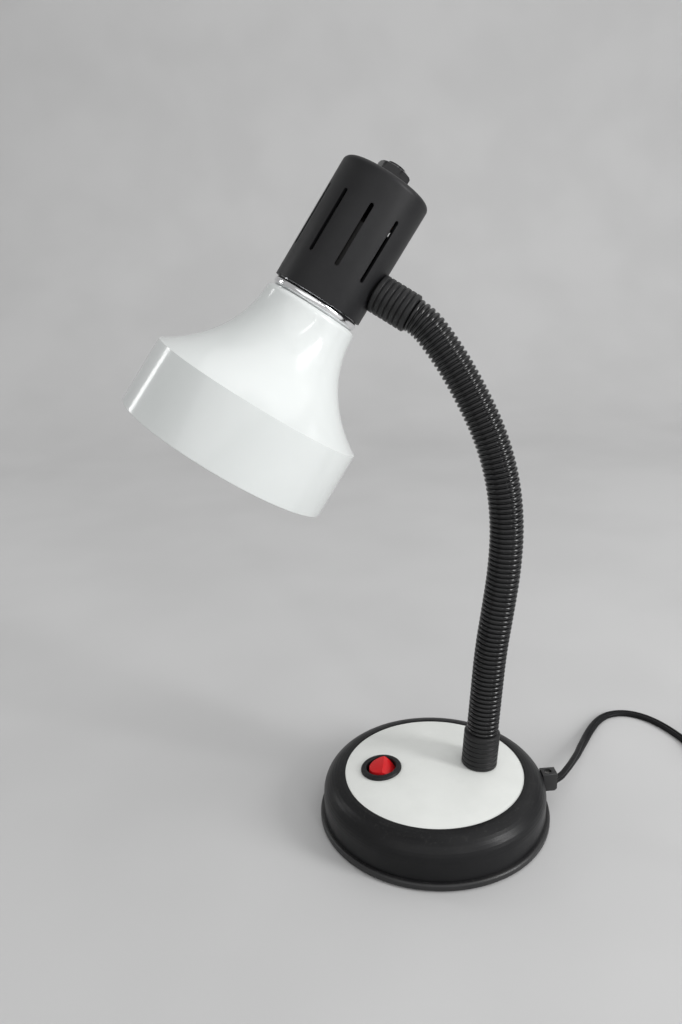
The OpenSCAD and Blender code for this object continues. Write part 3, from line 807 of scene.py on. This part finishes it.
@dataclass(frozen=True)
class Cord(Part):
    """The flat twin cord, from the clamp across the table to its coil and plug.

    Attributes:
        run, tail: Middle line to the coil and on to the plug, each point with the cord's roll in degrees.
        centre: Middle of the coil.
        outer_r, inner_r: Radius at which the cord enters the coil, and at which it climbs a layer.
        step, layer: Distance from turn to turn, and height from layer to layer.
        low_z: Height of the lower layer.
        climb, turns, coil_steps: Turns that the climb takes, turns of the coil, and points to a turn.
        core_r, core_x: Radius of each core's insulation, and its distance from the middle.
        spacing: Rough distance between points along the line.
    """

    kept: Kept = (("plug_body", Look.PLUG), ("plug_pins", Look.NICKEL), ("cord_tie", Look.TIE))
    run: tuple[Point4, ...] = (
        (76.6, -0.6, 15.5, 90), (81, 2.4, 15.3, 90), (85.6, 7.6, 14.8, 89), (90.8, 14.4, 13.7, 86),
        (96.2, 22.2, 12.1, 79), (101.9, 31, 9.9, 68), (107.8, 41, 7.5, 53), (114, 51, 5.4, 38),
        (120, 60.4, 3.9, 23), (126.2, 69.2, 2.9, 12), (132.6, 77, 2.2, 4), (139, 82.8, 1.8, 0),
        (145.1, 86.2, 1.6, 0), (151.8, 87.4, 1.6, 0), (158.5, 86.5, 1.6, 0), (164.7, 83.4, 1.6, 0),
        (169.9, 78.8, 1.6, 0), (174.1, 73.2, 1.6, 0), (177.5, 66.9, 1.6, 0), (180.3, 60.2, 1.6, 0),
        (182.5, 53.4, 1.6, 0), (184.2, 46.4, 1.9, 0), (185.3, 38.8, 2.3, 0), (185.9, 31, 2.5, 0),
    )
    tail: tuple[Point4, ...] = (
        (241, -15.11, 5.8, 0), (251, -15.71, 6.0, 0), (261, -16.81, 6.4, 0), (269, -17.71, 6.8, 0),
        (274, -18.01, 6.9, 0),
    )
    centre: Point2 = (231.0, 24.0)
    outer_r: float = 45.1
    inner_r: float = 21.9
    step: float = 5.8
    low_z: float = 2.5
    layer: float = 3.3
    climb: float = 0.3
    turns: float = 7.25
    coil_steps: int = 64
    core_r: float = 1.6
    core_x: float = 1.2
    spacing: float = 2.5

    def coil(self) -> list[Vector]:
        """Middle line of the coil and its roll."""
        inward = (self.outer_r - self.inner_r) / self.step
        count = round(self.turns * self.coil_steps)
        result = []
        for i in range(count + 1):
            t = self.turns * i / count
            out = max(0.0, t - inward - self.climb) * self.step
            r = max(self.outer_r - self.step * t, self.inner_r) + out
            rise = min(1.0, max(0.0, (t - inward) / self.climb))
            z = self.low_z + self.layer * rise * rise * (3 - 2 * rise)
            a = pi + 2 * pi * t
            result.append(Vector((self.centre[0] + r * cos(a), self.centre[1] + r * sin(a), z, 0)))
        return result

    def line(self) -> list[Vector]:
        """Middle line of the whole cord and its roll."""
        coil = self.coil()
        first, last = tuple(coil[0]), tuple(coil[-1])
        way_in = smooth_path([*self.run, first], self.spacing)
        way_out = smooth_path([last, *self.tail], self.spacing)
        return way_in[:-1] + coil + way_out[1:]

    def section(self) -> list[Point2]:
        """Outline of the two cores side by side, with the groove between them."""
        meet = degrees(acos(self.core_x / self.core_r))
        right = arc(self.core_x, 0, self.core_r, -(180 - meet), 180 - meet, 11)
        left = [(-x, -y) for x, y in right]
        return right[:-1] + left[:-1]

    def build(self) -> None:
        rolled = self.line()
        line = [p.to_3d() for p in rolled]
        outline = [Vector((*q, 0)) for q in self.section()]
        rings = []
        for i, here in enumerate(line):
            ahead = (line[min(i + 1, len(line) - 1)] - line[max(i - 1, 0)]).normalized()
            side = ahead.cross(Vector((0, 0, 1))).normalized()
            turn = Matrix((side, side.cross(ahead), ahead)).transposed()
            turn @= Matrix.Rotation(-radians(rolled[i].w), 3, "Z")
            rings.append([(here + turn @ q) * MM for q in outline])
        mesh = grid_mesh("mains_cord", rings, shut=False, cap=True)
        nodes = ("cord_run", "cord_coil", "cord_tail")
        made = piece("mains_cord", mesh, Look.CORD, *nodes, body="base", crease=60)
        length = sum((b - a).length for a, b in zip(line, line[1:])) * MM
        tuple(line[0] * MM)
        [tuple(p * MM) for p in line]
        log.info("cord of %.3f m", length)


# ---- Base, clamp and switch ----


@dataclass(frozen=True)
class Base(Part):
    """The weighted base: cover, disc, flange and what they hold."""

    kept: Kept = (
        ("base_cover", Look.COVER),
        ("top_disc", Look.DISC),
        ("base_plate", Look.FLANGE),
        ("foam_pad", Look.FOAM),
        ("ballast_weight", Look.IRON),
        ("ballast_bolt", Look.ZINC),
        ("base_screws", Look.ZINC),
        ("lower_ferrule", Look.ZINC),
        ("lower_washer", Look.ZINC),
        ("lower_nut", Look.ZINC),
        ("terminal_block", Look.BLOCK),
        ("base_leads", Look.WIRE),
    )


@dataclass(frozen=True)
class Clamp(Part):
    """The block on the cover's side that holds the cord with a screw.

    Attributes:
        side: Outline of the block, seen from the side.
        half_w: Half its width.
        tongue: Lowest and highest corner of the part inside the cover.
        hole_x, hole_r, hole_z: Place of the screw's hole, its radius, and its bottom and top.
        edge: Rounding of its edges.
    """

    kept: Kept = (("clamp_screw", Look.ZINC),)
    side: tuple[Point2, ...] = (
        (67.6, 10.9), (68.9, 9.5), (75.2, 9.5), (76.6, 10.9), (76.6, 21.5), (67.1, 21.5), (67.6, 18.0),
    )
    half_w: float = 3.9
    tongue: tuple[Point3, Point3] = ((60.0, -3.2, 11.3), (68.5, 3.2, 19.7))
    hole_x: float = 71.5
    hole_r: float = 2.3
    hole_z: Point2 = (18.3, 23.0)
    edge: float = 0.45

    def build(self) -> None:
        """Makes the clamp."""
        block = prism("clamp_block", [[(x, y, z) for x, z in self.side] for y in (-self.half_w, self.half_w)])
        block = beveled(block, self.edge, segments=3, angle=25.0)
        (x0, y0, z0), (x1, y1, z1) = self.tongue
        inside = prism("tongue", [[(x, y0, z0), (x, y1, z0), (x, y1, z1), (x, y0, z1)] for x in (x0, x1)])
        low, high = self.hole_z
        hole = lathe("hole", [(0, low), (self.hole_r, low), (self.hole_r, high), (0, high)], Matrix(), 32)
        hole.transform(Matrix.Translation((self.hole_x * MM, 0, 0)))
        mesh = combined(combined(block, inside, Join.UNITE), hole, Join.CUT)
        piece("clamp_block", mesh, Look.CLAMP, "cord_clamp", body="base")


@dataclass(frozen=True)
class Switch(Part):
    """The round rocker switch: bezel, well and ridged button.

    Attributes:
        azimuth: Direction of the switch from the middle of the base, in degrees.
        turn, tilt: Turn on the disc, and how far the button leans at rest, in degrees.
        pivot: Height of its pivot from the disc.
        button_r, skirt: Radius of the button, and its depth below the pivot.
        ridge, slope: Height of its ridge above the pivot, and slope of its two faces in degrees.
        swing_r, roller_half: Radius and half length of the roller that the button keeps within.
        outline, radii: Outline of the body around its axis, and rounding of each corner.
        edge: Rounding of the button's edges.
    """

    kept: Kept = (("switch_terminals", Look.BRASS),)
    azimuth: float = -4.6
    turn: float = -8.4
    tilt: float = 13.0
    pivot: float = -3.5
    button_r: float = 8.1
    ridge: float = 6.8
    slope: float = 24.0
    skirt: float = 2.6
    swing_r: float = 8.8
    outline: tuple[Point2, ...] = (
        (0, -17), (9.9, -17), (9.9, 0), (12.4, 0), (12.4, 0.9), (11.8, 1.65), (10.9, 2.0),
        (9.5, 2.0), (9.05, 1.6), (9.0, -8.2), (0, -8.2),
    )
    radii: tuple[float, ...] = (0, 0.3, 0.2, 0.1, 0.4, 0.5, 0.5, 0.25, 0.25, 0.3, 0)
    edge: float = 0.6
    roller_half: float = 12.0

    @property
    def place(self) -> Matrix:
        """Frame of the switch on the disc."""
        return turned("Z", self.azimuth) @ on_dome(-SWITCH_X, self.turn)

    def build(self) -> None:
        """Makes the bezel and the button."""
        bezel = lathe("switch_bezel", rounded(self.outline, self.radii), self.place)
        piece("switch_bezel", bezel, Look.BEZEL, "switch_body", body="base")
        piece("rocker_cap", self.button(), Look.ROCKER, "rocker_button", body="rocker")

    def button(self) -> Mesh:
        """Mesh of the button: a short drum cut by two slopes that meet in a ridge."""
        place = self.place @ Matrix.Translation((0, 0, self.pivot * MM)) @ turned("Y", self.tilt)
        r, low, high = self.button_r, -self.skirt, self.ridge + 1
        drum = rounded([(0, low), (r, low), (r, high), (0, high)], [0, 0.4, 0, 0])
        mesh = lathe("rocker_cap", drum, Matrix(), 96)
        work = bmesh.new()
        work.from_mesh(mesh)
        for side in (-1, 1):
            a = radians(self.slope) * side
            cut = bmesh.ops.bisect_plane(
                work,
                geom=work.verts[:] + work.edges[:] + work.faces[:],
                plane_co=(0, 0, self.ridge * MM),
                plane_no=(sin(a), 0, cos(a)),
                clear_outer=True,
            )
            edges = [e for e in cut["geom_cut"] if isinstance(e, bmesh.types.BMEdge)]
            bmesh.ops.edgeloop_fill(work, edges=edges)
        bmesh.ops.recalc_face_normals(work, faces=work.faces)
        work.to_mesh(mesh)
        work.free()
        wide, half = self.swing_r, self.roller_half
        roller = lathe("roller", [(0, -half), (wide, -half), (wide, half), (0, half)], Matrix())
        roller.transform(turned("X", 90))
        mesh = beveled(combined(mesh, roller, Join.COMMON), self.edge, segments=4, angle=8.0)
        mesh.transform(place)
        return mesh


# ---- Neck ----


@dataclass(frozen=True)
class Neck(Part):
    """The ribbed sleeve, its two collars, and the tube and fittings inside.

    Attributes:
        rib: Share of the pitch and radius of each ring across one rib.
        bore_r, steps: Radius of the sleeve's bore, and points to a ring.
        tuck: How far the sleeve reaches into a collar.
        split: Rib at which a stretch parts into two pieces.
        collar_r, collar_bore: Radius of a collar over its ribs, and of its bore.
        collar_ribs: Number of its ribs.
        groove: Depth and distance of the points on the side of one of its grooves.
        edge_r, shoulder: Radius of a rib's edge, and distance of its middle from the rib's end.
    """

    kept: Kept = (
        *((f"spiral_{k}", Look.STEEL) for k in range(1, 11)),
        ("upper_ferrule", Look.ZINC),
        ("upper_nut", Look.ZINC),
    )
    rib: tuple[Point2, ...] = (
        (0.0, 8.1), (0.07, 8.15), (0.1, 8.4), (0.14, 8.75), (0.2, 9.05), (0.29, 9.3), (0.4, 9.45),
        (0.5, 9.49), (0.6, 9.45), (0.71, 9.3), (0.8, 9.05), (0.86, 8.75), (0.9, 8.4), (0.93, 8.15),
    )
    bore_r: float = 7.4
    steps: int = 56
    tuck: float = 4.6
    split: int = 5
    collar_r: float = 10.75
    collar_ribs: int = 7
    collar_bore: float = 8.4
    groove: tuple[Point2, ...] = ((0.75, 0.03), (0.6, 0.22))
    edge_r: float = 0.55
    shoulder: float = 0.85

    def profile(self, stretch: int, first: int, last: int) -> list[Point2]:
        """Distance along a stretch and radius of each ring.

        Args:
            stretch: Number of the stretch.
            first: Its first rib.
            last: The rib after its last.

        Returns:
            Distance and radius pairs.
        """
        pitch = NECK.pitch
        rings = [((i + u) * pitch, r) for i in range(first, last) for u, r in self.rib]
        rings.append((last * pitch, self.rib[0][1]))
        if stretch == 0:
            rings.insert(0, (-self.tuck, self.rib[0][1]))
        if stretch == len(NECK.ribs) - 1:
            rings.append((last * pitch + self.tuck, self.rib[0][1]))
        return rings

    def ring(self, stretch: int, s: float, r: float) -> list[Vector]:
        """Ring of points square to the neck's line.

        Args:
            stretch: Number of the stretch.
            s: Distance along it.
            r: Radius.

        Returns:
            The points, in metres.
        """
        over = min(max(s, 0.0), NECK.length(stretch))
        place = NECK.at(stretch, over) @ Matrix.Translation((0, 0, (s - over) * MM))
        return [place @ polar(r, a, 0) for a in circle(self.steps)]

    def part(self, name: str, stretch: int, first: int, last: int) -> Object:
        """Makes one piece of the sleeve.

        Args:
            name: Name of the piece.
            stretch: Number of the stretch.
            first: Its first rib.
            last: The rib after its last.

        Returns:
            The piece.
        """
        outer = self.profile(stretch, first, last)
        inner = [(s, self.bore_r) for s, _ in outer[:: len(self.rib)] + outer[-1:]]
        rings = [self.ring(stretch, s, r) for s, r in outer + inner[::-1]]
        mesh = grid_mesh(name, rings)
        return piece(name, mesh, Look.SLEEVE, crease=50)

    def collar(self, name: str, place: Matrix, body: str) -> None:
        """Makes a ribbed collar.

        Args:
            name: Name of its node.
            place: Frame of its wide end.
            body: Body that it rides on.
        """
        pitch = NECK.collar / self.collar_ribs
        side = [(self.collar_r - deep, s) for deep, s in self.groove]
        side += arc(self.collar_r - self.edge_r, self.shoulder, self.edge_r, -65, 0, 4)
        line: list[Point2] = [(self.collar_bore, 0.0)]
        for i in range(self.collar_ribs):
            line += [(r, i * pitch + s) for r, s in side]
            line += [(r, (i + 1) * pitch - s) for r, s in reversed(side)]
        line.append((self.collar_bore, NECK.collar))
        mesh = lathe(name + "_grip", line, place, 112)
        piece(name + "_grip", mesh, Look.COLLAR, name, body=body, crease=55)

    def build(self) -> None:
        """Makes the sleeve across its ten joints, and the collars."""
        chain = ["base", *(f"neck_{k}" for k in range(1, 10)), "head"]
        for k in range(1, len(chain)):
            centre = NECK.at(k, 0.0).translation
            low = 0 if k == 1 else self.split
            high = NECK.ribs[k] if k == len(chain) - 1 else self.split
            below = self.part(f"sleeve_below_{k}", k - 1, low, NECK.ribs[k - 1])
            above = self.part(f"sleeve_above_{k}", k, 0, high)
            foot = NECK.at(k - 1, low * NECK.pitch).translation
            top = NECK.at(k, high * NECK.pitch).translation
            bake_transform(below)
            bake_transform(above)
            if k == 1:
                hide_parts("sleeve_0")
            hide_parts(f"sleeve_{k}")
        self.collar("lower_collar", NECK.root(), "base")
        self.collar("upper_collar", NECK.end() @ turned("X", 180), "head")
        log.info("neck built")


# ---- Head ----


@dataclass(frozen=True)
class Head(Part):
    """The slotted housing, chrome ring, shade and top nut.

    Attributes:
        top_z, base_z: Top and lower edge of the housing, from the neck's axis.
        fillet, inner_fillet: Radius of its upper edge, outside and inside.
        wall: Thickness of its wall.
        slots, first_slot, slot_step: Number of slots, angle of the first, and step in degrees.
        slot_w, slot_z: Width of a slot, and its lower and upper end.
        cut: Where a slot's cutter begins and ends, from the housing's face.
        ring_z: Lower edge of the chrome ring, and top of the shade.
        ring_r, bulge: Middle and radius of the ring's round face.
        ring_ends, gap: Radius of its lower and upper end, and the gap at both.
        bore_r: Radius of the hole through the ring and the shade's top.
        neck_r, shade_r, rim_r: Radius of the shade at its top, where its band begins, and at its rim.
        shade_t, shade_h, band_h: Thickness of its sheet, and height of the shade and of its band.
        lip: Radius of its upper edge.
        flare: Radius and depth of the two inner control points of the flare.
        nut_across: Width of the nut across its flats.
        nut_levels, nut_steps: Height and largest radius of each of its rings, and points to a ring.
        nut_bore, stud_r: Radius of its bore, and of the holes for the studs.
        washer_t: Thickness of the washer under it.
    """

    kept: Kept = (
        ("top_washer", Look.NUT),
        ("holder_nipple", Look.NUT),
        ("lampholder", Look.BAKELITE),
        ("lampholder_shell", Look.BRASS),
        ("shade_ring", Look.RING),
        ("head_leads", Look.WIRE),
        ("bulb_glass", Look.BULB),
        ("bulb_cap", Look.CAP),
    )
    top_z: float = 52.0
    base_z: float = -19.5
    fillet: float = 3.5
    wall: float = 2.0
    slots: int = 8
    first_slot: float = -41.6
    slot_step: float = 36.0
    slot_w: float = 2.3
    slot_z: Point2 = (-1.6, 34.2)
    inner_fillet: float = 2.5
    cut: Point2 = (-6.0, 3.0)
    ring_z: float = -24.8
    ring_r: float = 22.8
    bulge: float = 2.5
    ring_ends: Point2 = (23.2, 23.5)
    gap: float = 0.05
    bore_r: float = 20.1
    neck_r: float = 27.2
    shade_r: float = 62.1
    rim_r: float = 62.9
    shade_t: float = 1.0
    shade_h: float = 95.3
    band_h: float = 38.7
    lip: float = 3.0
    flare: tuple[Point2, Point2] = ((28.0, 26.0), (42.3, 44.7))
    nut_across: float = 17.0
    nut_levels: tuple[Point2, ...] = ((0.0, 9.6), (0.35, 9.9), (5.3, 9.9), (6.1, 9.0), (6.5, 8.0))
    nut_steps: int = 72
    washer_t: float = 1.0
    stud_r: float = 5.1
    nut_bore: float = 5.02

    def housing(self) -> Mesh:
        """Mesh of the housing, with its slots cut through."""
        inner, top, fillet = HOUSING_R - self.wall, self.top_z, self.inner_fillet
        line = [(inner, self.base_z), (HOUSING_R, self.base_z)]
        line += arc(HOUSING_R - self.fillet, top - self.fillet, self.fillet, 0, 90, 12)
        line += [(self.stud_r, top), (self.stud_r, top - self.wall)]
        line += arc(inner - fillet, top - self.wall - fillet, fillet, 90, 0, 6)
        return combined(lathe("housing_shell", line, Matrix(), 180), self.cutters(), Join.CUT)

    def cutters(self) -> Mesh:
        """One mesh of the blocks that cut the slots and the neck's hole."""
        half = self.slot_w / 2
        low, high = self.slot_z
        ends = [HOUSING_R + x for x in self.cut]
        outline = arc(0, high - half, half, 0, 180, 8) + arc(0, low + half, half, 180, 360, 8)
        blocks = []
        for i in range(self.slots):
            block = prism("slot", [[(x, y, z) for y, z in outline] for x in ends])
            block.transform(turned("Z", self.first_slot - i * self.slot_step))
            blocks.append(block)
        hole = arc(0, 0, self.stud_r, 0, 360, 32)[:-1]
        blocks.append(prism("hole", [[(x, y, z) for y, z in hole] for x in ends]))
        return joined("slot_cutters", blocks)

    def shade_line(self, off: float, steps: int) -> list[Point2]:
        """Outline of one face of the shade, from its top to its rim.

        Args:
            off: Distance inwards from the outer face.
            steps: Steps along the flare.

        Returns:
            Radius and height pairs.
        """
        top = self.ring_z
        rim = top - self.shade_h
        (r1, z1), (r2, z2) = self.flare
        start = (self.neck_r - off, top - self.lip - 0.4)
        end = (self.shade_r - off, rim + self.band_h - off * 0.6)
        flare = bezier([start, (r1 - off, top - z1), (r2 - off * 0.8, top - z2 - off), end], steps)
        lip = arc(self.neck_r - self.lip, top - self.lip, self.lip - off, 90, 10, 6)
        return [(self.bore_r, top - off)] + lip + flare + [(self.rim_r - off, rim)]

    def shade(self) -> Mesh:
        """Mesh of the shade: a flared sheet with a straight band and a round rim."""
        outer, inner = self.shade_line(0.0, 40), self.shade_line(self.shade_t, 40)
        half = self.shade_t / 2
        bead = arc(self.rim_r - half, outer[-1][1] + half, half, 0, -180, 8)
        return lathe("shade_skin", outer[:-1] + bead + inner[:-1][::-1], Matrix(), 192)

    def ring(self) -> Mesh:
        """Mesh of the chrome ring between the housing and the shade."""
        low, high = self.ring_z + self.gap, self.base_z - self.gap
        line = [(self.bore_r, low), (self.ring_ends[0], low)]
        line += arc(self.ring_r, (low + high) / 2, self.bulge, -80, 80, 16)
        line += [(self.ring_ends[1], high), (self.bore_r, high)]
        return lathe("ring_band", line, Matrix(), 160)

    def nut(self) -> Mesh:
        """Mesh of the hexagonal nut on top, with its corners turned down."""
        base = self.top_z + self.washer_t
        sector = pi / 3
        flats = []
        for a in circle(self.nut_steps):
            off = abs((a + sector / 2) % sector - sector / 2)
            flats.append((a, self.nut_across / 2 / cos(off - sector / 2)))
        top = self.nut_levels[-1][0]
        levels = [*self.nut_levels, (top, self.nut_bore), (0.0, self.nut_bore)]
        rings = [[polar(min(r, limit), a, base + z) for a, r in flats] for z, limit in levels]
        return grid_mesh("nut_hex", rings)

    def build(self) -> None:
        """Makes the visible pieces of the head."""
        at = head_frame()
        parts = (
            ("housing_shell", self.housing(), Look.HOUSING, "lamp_housing", 28.0),
            ("shade_skin", self.shade(), Look.SHADE, "lamp_shade", 40.0),
            ("ring_band", self.ring(), Look.CHROME, "chrome_ring", 35.0),
            ("nut_hex", self.nut(), Look.NUT, "top_nut", 22.0),
        )
        for name, mesh, look, node, crease in parts:
            mesh.transform(at)
            piece(name, mesh, look, node, body="head", crease=crease)


# ---- Studio ----


@dataclass(frozen=True)
class Lamp:
    """An area light aimed at a point.

    Attributes:
        name: Its name.
        place: Where it stands, in metres.
        aim: What it points at, in metres.
        size: Width and height, in metres.
        watts: Its power.
    """

    name: str
    place: Point3
    aim: Point3
    size: Point2
    watts: float

    def build(self) -> None:
        """Adds the light."""
        data = bpy.data.lights.new(self.name, "AREA")
        data.shape = "RECTANGLE"
        data.size, data.size_y = self.size
        data.energy = self.watts
        made = linked(self.name, data)
        made.location = self.place
        made.rotation_euler = (Vector(self.aim) - Vector(self.place)).to_track_quat("-Z", "Y").to_euler()


@dataclass(frozen=True)
class Studio:
    """A pale floor that curves up behind, soft lights and a pale world.

    Attributes:
        lamps: The lights.
        wall_y: Distance of the wall behind the lamp.
        bend: Radius of the curve between floor and wall.
        reach: How far the floor goes to each side and forward, and the wall up.
        bend_steps: Steps along the curve.
        paper: The floor's two colours.
        sky: Strength of the world.
    """

    lamps: tuple[Lamp, ...] = (
        Lamp("window", (1.2, -0.75, 0.6), (0.0, 0.0, 0.15), (0.35, 0.9), 15.0),
        Lamp("top", (0.9, 0.1, 1.6), (0.0, 0.0, 0.1), (2.6, 2.4), 14.0),
        Lamp("front", (-0.7, -1.9, 1.2), (0.0, 0.0, 0.2), (2.8, 2.2), 15.0),
        Lamp("glint", (0.5, -1.4, 0.7), (0.0, 0.0, 0.25), (0.08, 0.7), 1.8),
        Lamp("strip", (-1.15, 0.7, 0.75), (0.0, 0.0, 0.25), (0.14, 0.8), 2.2),
    )
    wall_y: float = 1.6
    bend: float = 0.7
    reach: float = 4.0
    bend_steps: int = 24
    paper: tuple[Rgb, Rgb] = ((0.56, 0.56, 0.56), (0.53, 0.53, 0.53))
    sky: float = 0.42

    def build(self) -> None:
        """Makes the floor, the lights and the world."""
        graph = Graph("floor_paper")
        tone = graph.noise(6.0, detail=2.0).band(0.3, 0.7)
        graph.set(Base_Color=tone.blend(*self.paper), Roughness=0.9)
        curve = arc(self.wall_y - self.bend, self.bend, self.bend, -90, 0, self.bend_steps)
        line = [(-self.reach, 0.0), *curve, (self.wall_y, self.reach)]
        rings = [[Vector((x, y, z)) for x in (-self.reach, self.reach)] for y, z in line]
        mesh = grid_mesh("floor", rings, loop=False, shut=False)
        mesh.shade_smooth()
        mesh.materials.append(graph.material)
        linked("floor", mesh)
        for lamp in self.lamps:
            lamp.build()
        self.world()
        log.info("studio built")

    def world(self) -> None:
        """Sets an even pale world and the plain view transform."""
        scene = bpy.context.scene
        scene.world = bpy.data.worlds.new("studio")
        scene.world.use_nodes = True
        sky = scene.world.node_tree.nodes["Background"]
        sky.inputs["Color"].default_value = (1.0, 1.0, 1.0, 1.0)
        sky.inputs["Strength"].default_value = self.sky
        scene.view_settings.view_transform = "Standard"


def main() -> None:
    """Builds the whole scene in order."""
    logging.basicConfig(level=logging.INFO, format="%(name)s: %(message)s")
    Viewpoint().build()
    for part in (Cord(), Base(), Clamp(), Switch(), Neck(), Head()):
        part.build()
        part.dress()
    Studio().build()


if __name__ == "__main__":
    main()
